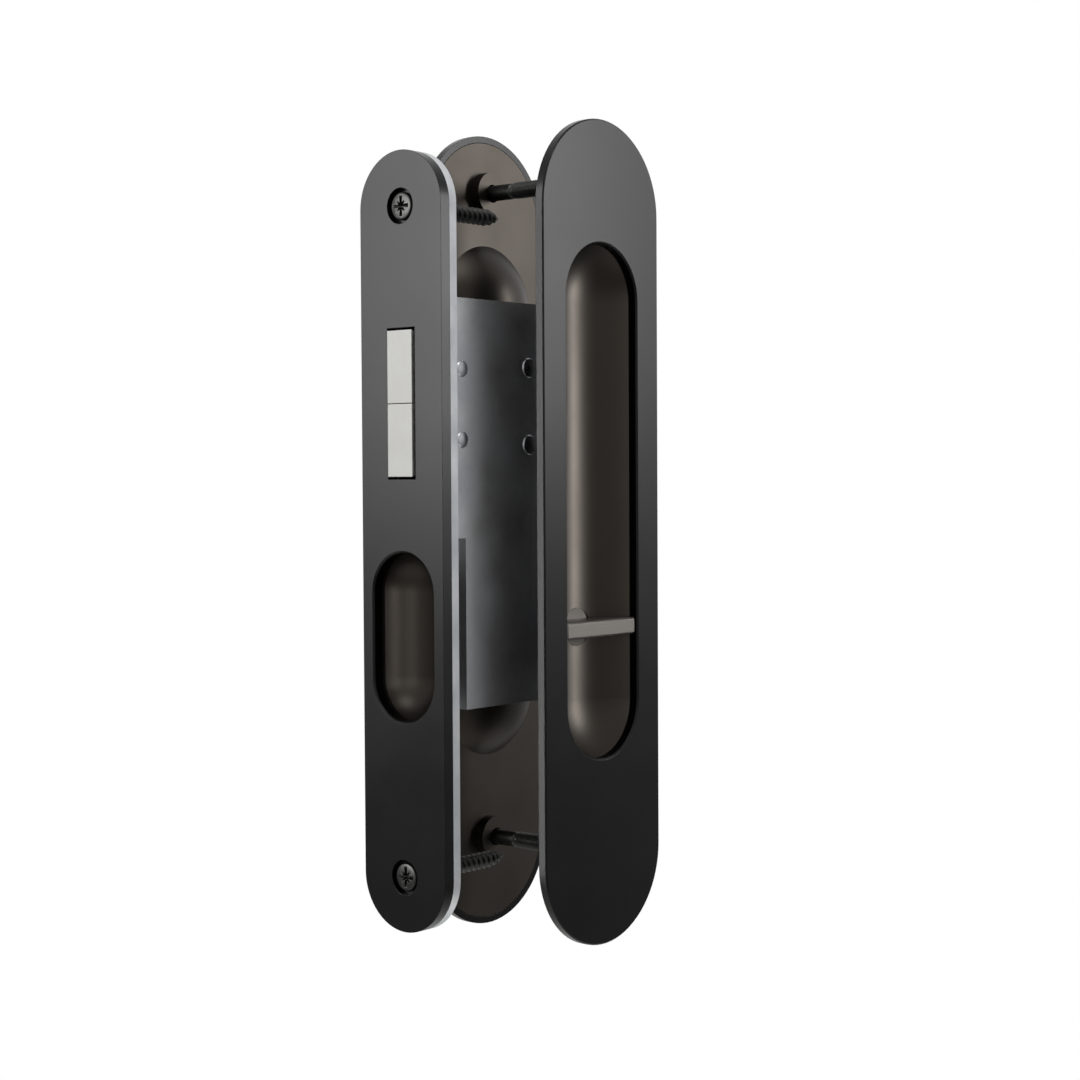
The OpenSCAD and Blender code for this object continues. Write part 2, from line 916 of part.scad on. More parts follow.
module through_screws() {
    head_top = base_t - drop_gap;
    color("#8b8d90")
        on_outer_face()
            for (y = [clamp_up, clamp_down])
                translate([0, y, head_top])
                    mirror([0, 0, 1])
                        difference() {
                            union() {
                                cylinder(r1 = clamp_head_r, r2 = clamp_r, h = clamp_head_t);
                                cylinder(r = clamp_r, h = door_t - clamp_tip + head_top);
                            }
                            cross_recess();
                        }
}

faceplate();
faceplate_screws();
finger_cup();
lock_case();
case_cover();
case_posts();
case_screws();
spreader_pins();
guide_pins();
detent_spring();
bolt_carriage();
claw_pivots();
upper_claw();
lower_claw();
hub();
drive_pin();
spindle();
turn_bar();
turn_clip();
turn_washer();
inner_pull_body();
inner_pull_cover();
outer_pull_body();
outer_pull_cover();
emergency_release();
release_clip();
release_washer();
through_screws();
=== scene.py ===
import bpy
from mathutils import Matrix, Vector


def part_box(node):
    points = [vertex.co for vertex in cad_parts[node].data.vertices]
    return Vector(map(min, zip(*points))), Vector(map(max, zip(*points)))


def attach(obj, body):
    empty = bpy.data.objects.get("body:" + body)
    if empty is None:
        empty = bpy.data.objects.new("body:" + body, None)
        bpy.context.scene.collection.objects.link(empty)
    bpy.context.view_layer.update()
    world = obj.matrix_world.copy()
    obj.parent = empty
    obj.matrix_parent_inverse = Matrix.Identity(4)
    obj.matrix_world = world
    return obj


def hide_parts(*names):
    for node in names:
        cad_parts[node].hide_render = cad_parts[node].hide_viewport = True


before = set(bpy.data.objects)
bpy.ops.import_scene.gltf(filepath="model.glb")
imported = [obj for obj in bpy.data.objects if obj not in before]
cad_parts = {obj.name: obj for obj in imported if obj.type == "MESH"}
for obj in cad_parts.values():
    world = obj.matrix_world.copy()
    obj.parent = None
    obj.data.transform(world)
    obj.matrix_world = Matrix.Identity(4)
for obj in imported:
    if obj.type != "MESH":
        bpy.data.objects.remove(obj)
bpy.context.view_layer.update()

import math

import bmesh
import bpy
from mathutils import Matrix, Vector


# Lock case: forend plate and folded tray, with the cover that closes it and the carriage
# inside. All are pressed from cold-rolled steel sheet and zinc plated after pressing, which
# leaves a pale, slightly blue metal with soft cloudy patches and fine rolling lines.
def linear(hex_colour):
    """An sRGB hex colour as the linear values that a shader takes."""
    parts = [int(hex_colour[i:i + 2], 16) / 255 for i in (1, 3, 5)]
    return [p / 12.92 if p <= 0.04045 else ((p + 0.055) / 1.055) ** 2.4 for p in parts] + [1.0]


def add(tree, kind, settings, inputs):
    """Adds a node: settings are its properties, inputs its values or the sockets that feed it."""
    made = tree.nodes.new(kind)
    for key, value in settings.items():
        setattr(made, key, value)
    for key, value in inputs.items():
        if isinstance(value, bpy.types.NodeSocket):
            tree.links.new(value, made.inputs[key])
        else:
            made.inputs[key].default_value = value
    return made


def start_material(name):
    """An empty material, its node tree and its Object coordinates, in metres."""
    made = bpy.data.materials.new(name)
    made.use_nodes = True
    made.node_tree.nodes.clear()
    place = add(made.node_tree, "ShaderNodeTexCoord", {}, {})
    return made, made.node_tree, place.outputs["Object"]


def end_material(tree, shader):
    add(tree, "ShaderNodeOutputMaterial", {}, {"Surface": shader.outputs[0]})


def finish_nodes(material, *names):
    """Gives CAD nodes their finish through their own material slots."""
    for name in names:
        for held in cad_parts[name].material_slots:
            held.material = material


zinc, tree, place = start_material("zinc_plated_steel_sheet")
CLOUD = 9.0      # mm across a patch of the plating
ROLLED = 0.35    # mm between rolling lines, drawn coarser than the real ones so that they show
cloud = add(tree, "ShaderNodeTexNoise", {}, {"Vector": place, "Scale": 1000 / CLOUD, "Detail": 3.0})
along = add(tree, "ShaderNodeMapping", {}, {"Vector": place, "Scale": (1.0, 1.0, 0.04)})
rolled = add(tree, "ShaderNodeTexNoise", {}, {
    "Vector": along.outputs[0], "Scale": 1000 / ROLLED, "Detail": 2.0})
tint = add(tree, "ShaderNodeValToRGB", {}, {"Fac": cloud.outputs["Fac"]})
tint.color_ramp.elements[0].position, tint.color_ramp.elements[1].position = 0.35, 0.68
tint.color_ramp.elements[0].color = linear("#b3b6ba")
tint.color_ramp.elements[1].color = linear("#cbccce")
dull = add(tree, "ShaderNodeMapRange", {}, {
    "Value": cloud.outputs["Fac"], "From Min": 0.3, "From Max": 0.7,
    "To Min": 0.48, "To Max": 0.36})
relief = add(tree, "ShaderNodeBump", {}, {
    "Height": rolled.outputs["Fac"], "Strength": 0.25, "Distance": 0.00002})
end_material(tree, add(tree, "ShaderNodeBsdfPrincipled", {}, {
    "Base Color": tint.outputs["Color"], "Metallic": 1.0,
    "Roughness": dull.outputs["Result"], "Normal": relief.outputs["Normal"]}))
finish_nodes(zinc, "lock_case", "case_cover", "bolt_carriage")


# Posts, pivots, washers and the square spindle: free-cutting steel, turned or drawn and left
# bright. The tool leaves rings round the axis, which runs across the door on every one.
bright, tree, place = start_material("bright_turned_steel")
RING = 0.22      # mm between tool marks
split = add(tree, "ShaderNodeSeparateXYZ", {}, {"Vector": place})
ringed = add(tree, "ShaderNodeCombineXYZ", {}, {"Y": split.outputs["Y"]})
marks = add(tree, "ShaderNodeTexWave", {"bands_direction": "Y"}, {
    "Vector": ringed.outputs[0], "Scale": 1000 / RING / (2 * math.pi),
    "Distortion": 0.6, "Detail": 1.0})
haze = add(tree, "ShaderNodeTexNoise", {}, {"Vector": place, "Scale": 420.0, "Detail": 2.0})
tint = add(tree, "ShaderNodeValToRGB", {}, {"Fac": haze.outputs["Fac"]})
tint.color_ramp.elements[0].color = linear("#9c9ea2")
tint.color_ramp.elements[1].color = linear("#b9bbbe")
dull = add(tree, "ShaderNodeMapRange", {}, {
    "Value": haze.outputs["Fac"], "From Min": 0.3, "From Max": 0.7, "To Min": 0.26, "To Max": 0.38})
relief = add(tree, "ShaderNodeBump", {}, {
    "Height": marks.outputs["Fac"], "Strength": 0.2, "Distance": 0.00001})
end_material(tree, add(tree, "ShaderNodeBsdfPrincipled", {}, {
    "Base Color": tint.outputs["Color"], "Metallic": 1.0,
    "Roughness": dull.outputs["Result"], "Normal": relief.outputs["Normal"]}))
finish_nodes(
    bright, "case_posts", "case_screws", "claw_pivots", "drive_pin", "spindle", "turn_washer",
    "release_washer")


# Riveted pins of the case: two spreader pins and two guide pins, turned from the same steel
# and peened over at both ends, so that a low dome stands on each side of the case.
def turned_blank(name, profile, material, steps=48):
    """Closed solid of revolution about Z, from (z, radius) pairs in mm with both ends at 0."""
    shape = bmesh.new()
    rings = []
    for z, radius in profile:
        if radius == 0:
            rings.append([shape.verts.new((0, 0, z / 1000))])
            continue
        turns = [2 * math.pi * i / steps for i in range(steps)]
        rings.append([shape.verts.new(
            (radius / 1000 * math.cos(t), radius / 1000 * math.sin(t), z / 1000)) for t in turns])
    for low, high in zip(rings, rings[1:]):
        for i in range(steps):
            j = i + 1
            corners = [
                low[i % len(low)], low[j % len(low)], high[j % len(high)], high[i % len(high)]]
            shape.faces.new(list(dict.fromkeys(corners)))
    bmesh.ops.recalc_face_normals(shape, faces=shape.faces)
    mesh = bpy.data.meshes.new(name)
    shape.to_mesh(mesh)
    shape.free()
    mesh.materials.append(material)
    made = bpy.data.objects.new(name, mesh)
    bpy.context.scene.collection.objects.link(made)
    return made


def start_tree(name, values):
    """A geometry tree with a mesh in, a mesh out and named number inputs."""
    made = bpy.data.node_groups.new(name, "GeometryNodeTree")
    made.interface.new_socket("Geometry", in_out="OUTPUT", socket_type="NodeSocketGeometry")
    made.interface.new_socket("Geometry", in_out="INPUT", socket_type="NodeSocketGeometry")
    for key, value in values.items():
        kind = "NodeSocketInt" if isinstance(value, int) else "NodeSocketFloat"
        made.interface.new_socket(key, in_out="INPUT", socket_type=kind).default_value = value
    made.interface.new_socket("Finish", in_out="INPUT", socket_type="NodeSocketMaterial")
    return made, add(made, "NodeGroupInput", {}, {})


def run_tree(made, tree, values):
    """Puts a tree on an object, with its inputs set by identifier before it is evaluated."""
    modifier = made.modifiers.new(tree.name, "NODES")
    modifier.node_group = tree
    for item in tree.interface.items_tree:
        if item.in_out == "INPUT" and item.name in values:
            modifier[item.identifier] = values[item.name]


def settle(made, place, angle=32):
    """Turns what the modifiers give into a plain mesh, in place, with crisp edges kept."""
    bpy.context.view_layer.update()
    shown = made.evaluated_get(bpy.context.evaluated_depsgraph_get())
    mesh = bpy.data.meshes.new_from_object(shown)
    made.modifiers.clear()
    made.data = mesh
    mesh.transform(place)
    shape = bmesh.new()
    shape.from_mesh(mesh)
    bmesh.ops.recalc_face_normals(shape, faces=shape.faces)
    shape.to_mesh(mesh)
    shape.free()
    mesh.shade_smooth()
    mesh.set_sharp_from_angle(angle=math.radians(angle))


pair, given = start_tree("pair_of_like_pieces", {"Span": 0.016})
half = add(pair, "ShaderNodeMath", {"operation": "MULTIPLY"}, {0: given.outputs["Span"], 1: -0.5})
first = add(pair, "ShaderNodeCombineXYZ", {}, {"Y": half.outputs[0]})
step = add(pair, "ShaderNodeCombineXYZ", {}, {"Y": given.outputs["Span"]})
line = add(pair, "GeometryNodeMeshLine", {}, {
    "Count": 2, "Start Location": first.outputs[0], "Offset": step.outputs[0]})
placed = add(pair, "GeometryNodeInstanceOnPoints", {}, {
    "Points": line.outputs[0], "Instance": given.outputs["Geometry"]})
real = add(pair, "GeometryNodeRealizeInstances", {}, {"Geometry": placed.outputs[0]})
coated = add(pair, "GeometryNodeSetMaterial", {}, {
    "Geometry": real.outputs[0], "Material": given.outputs["Finish"]})
add(pair, "NodeGroupOutput", {}, {"Geometry": coated.outputs[0]})


def across_door(x, z):
    """Takes local Z to Y, across the door, and local Y to Z, at x and z in metres."""
    return Matrix(((1, 0, 0, x), (0, 0, 1, 0), (0, -1, 0, z), (0, 0, 0, 1)))


PEEN = 0.45      # mm that a peened end stands off the case
SPREAD = 0.35    # mm that it spreads past the pin's radius
EMBED = 0.02     # mm that it starts in the case
for name, node in (("spreader_pins_peened", "spreader_pins"), ("guide_pins_peened", "guide_pins")):
    low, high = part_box(node)
    radius = (high.x - low.x) * 500
    side = high.y * 1000
    dome = [(side + EMBED, radius + SPREAD), (side + PEEN * 0.6, radius + 0.1),
            (side + PEEN * 0.9, radius * 0.55), (side + PEEN, 0)]
    profile = [(-z, r) for z, r in reversed(dome)]
    profile += [(-side + EMBED, radius), (side - EMBED, radius)] + dome
    pins = turned_blank(name, profile, bright)
    run_tree(pins, pair, {"Span": high.z - low.z - 2 * radius / 1000, "Finish": bright})
    settle(pins, across_door((low.x + high.x) / 2, (low.z + high.z) / 2))
    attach(pins, "lock")
    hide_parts(node)


# Hub: zinc alloy, die cast and tumbled. Its skin is dull grey, faintly pitted, a little
# brighter where the tumbling has rubbed it.
cast, tree, place = start_material("die_cast_zinc_alloy")
PIT = 0.5        # mm across a pit of the casting skin
pits = add(tree, "ShaderNodeTexNoise", {}, {"Vector": place, "Scale": 1000 / PIT, "Detail": 4.0})
rubbed = add(tree, "ShaderNodeTexNoise", {}, {"Vector": place, "Scale": 260.0, "Detail": 2.0})
tint = add(tree, "ShaderNodeValToRGB", {}, {"Fac": rubbed.outputs["Fac"]})
tint.color_ramp.elements[0].color = linear("#86888b")
tint.color_ramp.elements[1].color = linear("#a3a5a8")
dull = add(tree, "ShaderNodeMapRange", {}, {
    "Value": rubbed.outputs["Fac"], "From Min": 0.3, "From Max": 0.7,
    "To Min": 0.6, "To Max": 0.45})
relief = add(tree, "ShaderNodeBump", {}, {
    "Height": pits.outputs["Fac"], "Strength": 0.4, "Distance": 0.00004})
end_material(tree, add(tree, "ShaderNodeBsdfPrincipled", {}, {
    "Base Color": tint.outputs["Color"], "Metallic": 1.0,
    "Roughness": dull.outputs["Result"], "Normal": relief.outputs["Normal"]}))
finish_nodes(cast, "hub")


# Detent spring and the two retaining clips: hardened strip, blue-grey from tempering, with
# the straight lines of its rolling.
strip, tree, place = start_material("tempered_spring_strip")
STREAK = 0.3     # mm between rolling streaks
along = add(tree, "ShaderNodeMapping", {}, {"Vector": place, "Scale": (0.05, 1.0, 1.0)})
streak = add(tree, "ShaderNodeTexNoise", {}, {
    "Vector": along.outputs[0], "Scale": 1000 / STREAK, "Detail": 2.0})
tint = add(tree, "ShaderNodeValToRGB", {}, {"Fac": streak.outputs["Fac"]})
tint.color_ramp.elements[0].color = linear("#5d6168")
tint.color_ramp.elements[1].color = linear("#7b7f86")
relief = add(tree, "ShaderNodeBump", {}, {
    "Height": streak.outputs["Fac"], "Strength": 0.2, "Distance": 0.00001})
end_material(tree, add(tree, "ShaderNodeBsdfPrincipled", {}, {
    "Base Color": tint.outputs["Color"], "Metallic": 1.0, "Roughness": 0.33,
    "Normal": relief.outputs["Normal"]}))
finish_nodes(strip, "detent_spring", "turn_clip", "release_clip")


# Claw bolts: sintered steel, plated with satin nickel, a warm pale grey. The faces that
# show in the slot are brushed upright, so the highlight is drawn out along them.
nickel, tree, place = start_material("satin_nickel_plate")
BRUSHED = 0.12   # mm between brush lines
along = add(tree, "ShaderNodeMapping", {}, {"Vector": place, "Scale": (1.0, 1.0, 0.03)})
brush = add(tree, "ShaderNodeTexNoise", {}, {
    "Vector": along.outputs[0], "Scale": 1000 / BRUSHED, "Detail": 2.0})
cloud = add(tree, "ShaderNodeTexNoise", {}, {"Vector": place, "Scale": 120.0, "Detail": 2.0})
tint = add(tree, "ShaderNodeValToRGB", {}, {"Fac": cloud.outputs["Fac"]})
tint.color_ramp.elements[0].color = linear("#dad9d5")
tint.color_ramp.elements[1].color = linear("#e6e6e2")
dull = add(tree, "ShaderNodeMapRange", {}, {
    "Value": brush.outputs["Fac"], "From Min": 0.3, "From Max": 0.7,
    "To Min": 0.42, "To Max": 0.52})
worn = add(tree, "ShaderNodeBevel", {"samples": 4}, {"Radius": 0.00025})
relief = add(tree, "ShaderNodeBump", {}, {
    "Height": brush.outputs["Fac"], "Strength": 0.12, "Distance": 0.00001,
    "Normal": worn.outputs["Normal"]})
end_material(tree, add(tree, "ShaderNodeBsdfPrincipled", {}, {
    "Base Color": tint.outputs["Color"], "Metallic": 1.0,
    "Roughness": dull.outputs["Result"], "Normal": relief.outputs["Normal"]}))
finish_nodes(nickel, "upper_claw", "lower_claw")


# Faceplate and the covers of the two pulls: stainless steel, bead blasted and coated black by
# vapour deposition. It is a dark, even satin with a very fine grain, and its eased edges
# catch a thin line of light.
black, tree, place = start_material("black_coated_stainless")
BEAD = 0.16      # mm between the dents of the blasting, drawn twice the real size
grain = add(tree, "ShaderNodeTexNoise", {}, {"Vector": place, "Scale": 1000 / BEAD, "Detail": 2.0})
handled = add(tree, "ShaderNodeTexNoise", {}, {"Vector": place, "Scale": 45.0, "Detail": 3.0})
tint = add(tree, "ShaderNodeValToRGB", {}, {"Fac": handled.outputs["Fac"]})
tint.color_ramp.elements[0].color = linear("#1e1e1e")
tint.color_ramp.elements[1].color = linear("#212121")
dull = add(tree, "ShaderNodeMapRange", {}, {
    "Value": handled.outputs["Fac"], "From Min": 0.3, "From Max": 0.7,
    "To Min": 0.29, "To Max": 0.33})
eased = add(tree, "ShaderNodeBevel", {"samples": 4}, {"Radius": 0.0002})
relief = add(tree, "ShaderNodeBump", {}, {
    "Height": grain.outputs["Fac"], "Strength": 0.1, "Distance": 0.00001,
    "Normal": eased.outputs["Normal"]})
end_material(tree, add(tree, "ShaderNodeBsdfPrincipled", {}, {
    "Base Color": tint.outputs["Color"], "Metallic": 1.0,
    "Roughness": dull.outputs["Result"], "Normal": relief.outputs["Normal"]}))
finish_nodes(black, "faceplate", "inner_pull_cover", "outer_pull_cover")


# Finger cup and the shells of the pulls: zinc alloy castings plated a brown gunmetal. The
# plating is softer than the black of the plates, and darker where it is thick.
gunmetal, tree, place = start_material("gunmetal_plated_casting")
SKIN = 0.3       # mm across a grain of the casting under the plating
skin = add(tree, "ShaderNodeTexNoise", {}, {"Vector": place, "Scale": 1000 / SKIN, "Detail": 3.0})
depth = add(tree, "ShaderNodeTexNoise", {}, {"Vector": place, "Scale": 70.0, "Detail": 3.0})
tint = add(tree, "ShaderNodeValToRGB", {}, {"Fac": depth.outputs["Fac"]})
tint.color_ramp.elements[0].color = linear("#2e2b28")
tint.color_ramp.elements[1].color = linear("#35312d")
dull = add(tree, "ShaderNodeMapRange", {}, {
    "Value": depth.outputs["Fac"], "From Min": 0.3, "From Max": 0.7,
    "To Min": 0.38, "To Max": 0.44})
relief = add(tree, "ShaderNodeBump", {}, {
    "Height": skin.outputs["Fac"], "Strength": 0.12, "Distance": 0.00002})
end_material(tree, add(tree, "ShaderNodeBsdfPrincipled", {}, {
    "Base Color": tint.outputs["Color"], "Metallic": 1.0,
    "Roughness": dull.outputs["Result"], "Normal": relief.outputs["Normal"]}))
finish_nodes(gunmetal, "finger_cup", "inner_pull_body", "outer_pull_body")


# Faceplate screws: 4 mm wood screws of blackened steel with a cheese head and a cross recess
# whose fine diagonal ticks take a positive driver. The thread is rolled, so its crest stands
# out from a thinner shank, and it runs into the point.
blackened, tree, place = start_material("blackened_screw_steel")
oil = add(tree, "ShaderNodeTexNoise", {}, {"Vector": place, "Scale": 600.0, "Detail": 3.0})
tint = add(tree, "ShaderNodeValToRGB", {}, {"Fac": oil.outputs["Fac"]})
tint.color_ramp.elements[0].color = linear("#2f2f2e")
tint.color_ramp.elements[1].color = linear("#393938")
dull = add(tree, "ShaderNodeMapRange", {}, {
    "Value": oil.outputs["Fac"], "From Min": 0.3, "From Max": 0.7, "To Min": 0.32, "To Max": 0.44})
eased = add(tree, "ShaderNodeBevel", {"samples": 4}, {"Radius": 0.00015})
end_material(tree, add(tree, "ShaderNodeBsdfPrincipled", {}, {
    "Base Color": tint.outputs["Color"], "Metallic": 1.0,
    "Roughness": dull.outputs["Result"], "Normal": eased.outputs["Normal"]}))

thread, given = start_tree("rolled_thread", {
    "Turns": 12.0, "Pitch": 0.0018, "Start": 0.006, "Root Radius": 0.0014, "Height": 0.0006,
    "Flank Width": 0.0008, "Tip Start": 0.03, "Tip End": 0.034, "Steps": 289})
strip_grid = add(thread, "GeometryNodeMeshGrid", {}, {
    "Size X": 1.0, "Size Y": 1.0, "Vertices X": given.outputs["Steps"], "Vertices Y": 5})
spot = add(thread, "GeometryNodeInputPosition", {}, {})
spot_parts = add(thread, "ShaderNodeSeparateXYZ", {}, {0: spot.outputs[0]})
share = add(thread, "ShaderNodeMath", {"operation": "ADD"}, {0: spot_parts.outputs["X"], 1: 0.5})
turned = add(thread, "ShaderNodeMath", {"operation": "MULTIPLY"}, {
    0: share.outputs[0], 1: given.outputs["Turns"]})
bearing = add(thread, "ShaderNodeMath", {"operation": "MULTIPLY"}, {
    0: turned.outputs[0], 1: 2 * math.pi})
bearing_sine = add(thread, "ShaderNodeMath", {"operation": "SINE"}, {0: bearing.outputs[0]})
bearing_cosine = add(thread, "ShaderNodeMath", {"operation": "COSINE"}, {0: bearing.outputs[0]})
flank = add(thread, "ShaderNodeMath", {"operation": "MULTIPLY_ADD"}, {
    0: spot_parts.outputs["Y"], 1: 2 * math.pi, 2: math.pi})
flank_sine = add(thread, "ShaderNodeMath", {"operation": "SINE"}, {0: flank.outputs[0]})
flank_cosine = add(thread, "ShaderNodeMath", {"operation": "COSINE"}, {0: flank.outputs[0]})
left = add(thread, "ShaderNodeMath", {"operation": "SUBTRACT"}, {
    0: given.outputs["Turns"], 1: turned.outputs[0]})
nearer = add(thread, "ShaderNodeMath", {"operation": "MINIMUM"}, {
    0: turned.outputs[0], 1: left.outputs[0]})
fade = add(thread, "ShaderNodeMath", {"operation": "MINIMUM"}, {0: nearer.outputs[0], 1: 1.0})
crest = add(thread, "ShaderNodeMath", {"operation": "MULTIPLY"}, {
    0: fade.outputs[0], 1: given.outputs["Height"]})
lift = add(thread, "ShaderNodeMath", {"operation": "MULTIPLY"}, {
    0: crest.outputs[0], 1: flank_sine.outputs[0]})
wide = add(thread, "ShaderNodeMath", {"operation": "MULTIPLY"}, {
    0: fade.outputs[0], 1: given.outputs["Flank Width"]})
half_wide = add(thread, "ShaderNodeMath", {"operation": "MULTIPLY"}, {0: wide.outputs[0], 1: -0.5})
depth_in = add(thread, "ShaderNodeMath", {"operation": "MULTIPLY_ADD"}, {
    0: turned.outputs[0], 1: given.outputs["Pitch"], 2: given.outputs["Start"]})
height = add(thread, "ShaderNodeMath", {"operation": "MULTIPLY_ADD"}, {
    0: half_wide.outputs[0], 1: flank_cosine.outputs[0], 2: depth_in.outputs[0]})
point = add(thread, "ShaderNodeMapRange", {}, {
    "Value": depth_in.outputs[0], "From Min": given.outputs["Tip Start"],
    "From Max": given.outputs["Tip End"], "To Min": 1.0, "To Max": 0.0})
reach = add(thread, "ShaderNodeMath", {"operation": "MULTIPLY_ADD"}, {
    0: given.outputs["Root Radius"], 1: point.outputs["Result"], 2: lift.outputs[0]})
reach_x = add(thread, "ShaderNodeMath", {"operation": "MULTIPLY"}, {
    0: reach.outputs[0], 1: bearing_cosine.outputs[0]})
reach_y = add(thread, "ShaderNodeMath", {"operation": "MULTIPLY"}, {
    0: reach.outputs[0], 1: bearing_sine.outputs[0]})
wound = add(thread, "ShaderNodeCombineXYZ", {}, {
    "X": reach_x.outputs[0], "Y": reach_y.outputs[0], "Z": height.outputs[0]})
moved = add(thread, "GeometryNodeSetPosition", {}, {
    "Geometry": strip_grid.outputs[0], "Position": wound.outputs[0]})
sealed = add(thread, "GeometryNodeMergeByDistance", {}, {
    "Geometry": moved.outputs[0], "Distance": 0.000002})
whole = add(thread, "GeometryNodeJoinGeometry", {}, {"Geometry": sealed.outputs[0]})
thread.links.new(given.outputs["Geometry"], whole.inputs[0])
real = add(thread, "GeometryNodeRealizeInstances", {}, {"Geometry": whole.outputs[0]})
coated = add(thread, "GeometryNodeSetMaterial", {}, {
    "Geometry": real.outputs[0], "Material": given.outputs["Finish"]})
add(thread, "NodeGroupOutput", {}, {"Geometry": coated.outputs[0]})


def cut_recess(head, size, deep, ticks):
    """Cuts a cross recess that narrows as it goes down into the head, whose top is at z = 0."""
    arms = []
    inner = size * 0.36
    near = math.pi / 8
    for i in range(8):
        far = size if i % 2 == 0 else ticks
        wide = size * (0.2 if i % 2 == 0 else 0.07)
        turn = Matrix.Rotation(i * math.pi / 4, 3, "Z")
        arms += [turn @ Vector((far, -wide, 0)), turn @ Vector((far, wide, 0))]
        arms.append(turn @ Vector((inner * math.cos(near), inner * math.sin(near), 0)))
    shape = bmesh.new()
    levels = [(-0.3, 1.06), (0.0, 1.0), (deep * 0.75, 0.5), (deep, 0.12)]
    rings = [[shape.verts.new((p.x * k / 1000, p.y * k / 1000, z / 1000)) for p in arms]
             for z, k in levels]
    for low, high in zip(rings, rings[1:]):
        for i in range(len(arms)):
            j = (i + 1) % len(arms)
            shape.faces.new((low[i], low[j], high[j], high[i]))
    shape.faces.new(rings[0])
    shape.faces.new(rings[-1])
    bmesh.ops.recalc_face_normals(shape, faces=shape.faces)
    mesh = bpy.data.meshes.new("recess_cutter")
    shape.to_mesh(mesh)
    shape.free()
    cutter = bpy.data.objects.new("recess_cutter", mesh)
    bpy.context.scene.collection.objects.link(cutter)
    cut = head.modifiers.new("recess", "BOOLEAN")
    cut.object = cutter
    cut.solver = "EXACT"
    bpy.context.view_layer.update()
    shown = head.evaluated_get(bpy.context.evaluated_depsgraph_get())
    made = bpy.data.meshes.new_from_object(shown)
    head.modifiers.clear()
    head.data = made
    bpy.data.objects.remove(cutter)


low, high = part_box("faceplate_screws")
SCREW_L = (high.x - low.x) * 1000
HEAD_R, HEAD_T = 3.15, 1.6       # mm, like the five values below
NECK_R, NECK_END = 2.15, 6.4
ROOT_R, ROOT_START = 1.45, 7.4
POINT_L = 4.6
SPAN = 0.1502                    # m between the two screws
wood_screws = turned_blank("faceplate_screws_threaded", [
    (0.0, 0), (0.0, HEAD_R - 0.45), (0.12, HEAD_R - 0.18), (0.4, HEAD_R), (HEAD_T - 0.15, HEAD_R),
    (HEAD_T, HEAD_R - 0.15), (HEAD_T, NECK_R), (NECK_END, NECK_R - 0.05), (ROOT_START, ROOT_R),
    (SCREW_L - POINT_L, ROOT_R), (SCREW_L, 0)], blackened)
cut_recess(wood_screws, 2.3, 1.4, 1.5)
run_tree(wood_screws, thread, {
    "Turns": 14.5, "Pitch": 0.0017, "Start": 0.0076, "Root Radius": ROOT_R / 1000,
    "Height": 0.00052, "Flank Width": 0.0008, "Tip Start": (SCREW_L - POINT_L) / 1000,
    "Tip End": SCREW_L / 1000, "Steps": 349, "Finish": blackened})
run_tree(wood_screws, pair, {"Span": SPAN, "Finish": blackened})
settle(wood_screws, Matrix(((0, 0, 1, low.x), (1, 0, 0, 0), (0, 1, 0, 0), (0, 0, 0, 1))))
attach(wood_screws, "lock")
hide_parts("faceplate_screws")


# Turn bar and emergency release: zinc alloy castings, plated the shells' gunmetal and ground
# on the outside, which leaves them lighter. The grinding lines run along the bar. What lies
# deeper than the bar, its root down in the recess, is painted darker as painted shade.
turn_metal, tree, place = start_material("ground_gunmetal_turn_shaded_root")
GROUND = 0.14    # mm between grinding lines
# Painted shade: what is nearer the door's middle than the first distance is painted darker; by the
# second the ground colour is reached.
SHADED_ROOT_Y, UNSHADED_GROUND_Y = 0.0118, 0.0126  # m off the door's middle, to where the grinding fades in
along = add(tree, "ShaderNodeMapping", {}, {"Vector": place, "Scale": (0.04, 1.0, 1.0)})
lines = add(tree, "ShaderNodeTexNoise", {}, {
    "Vector": along.outputs[0], "Scale": 1000 / GROUND, "Detail": 2.0})
tint = add(tree, "ShaderNodeValToRGB", {}, {"Fac": lines.outputs["Fac"]})
tint.color_ramp.elements[0].color = linear("#595653")
tint.color_ramp.elements[1].color = linear("#64615d")
split = add(tree, "ShaderNodeSeparateXYZ", {}, {"Vector": place})
off_centre = add(tree, "ShaderNodeMath", {"operation": "ABSOLUTE"}, {0: split.outputs["Y"]})
unshaded_share = add(tree, "ShaderNodeMapRange", {}, {
    "Value": off_centre.outputs[0], "From Min": SHADED_ROOT_Y, "From Max": UNSHADED_GROUND_Y})
# Mixes the painted shade colour of the root with the ground colour of the bar.
shown = add(tree, "ShaderNodeMix", {"data_type": "RGBA"}, {
    "Factor": unshaded_share.outputs["Result"], 6: linear("#524f4c"), 7: tint.outputs["Color"]})
eased = add(tree, "ShaderNodeBevel", {"samples": 4}, {"Radius": 0.0002})
relief = add(tree, "ShaderNodeBump", {}, {
    "Height": lines.outputs["Fac"], "Strength": 0.1, "Distance": 0.00001,
    "Normal": eased.outputs["Normal"]})
end_material(tree, add(tree, "ShaderNodeBsdfPrincipled", {}, {
    "Base Color": shown.outputs[2], "Metallic": 1.0, "Roughness": 0.42,
    "Normal": relief.outputs["Normal"]}))
finish_nodes(turn_metal, "turn_bar", "emergency_release")


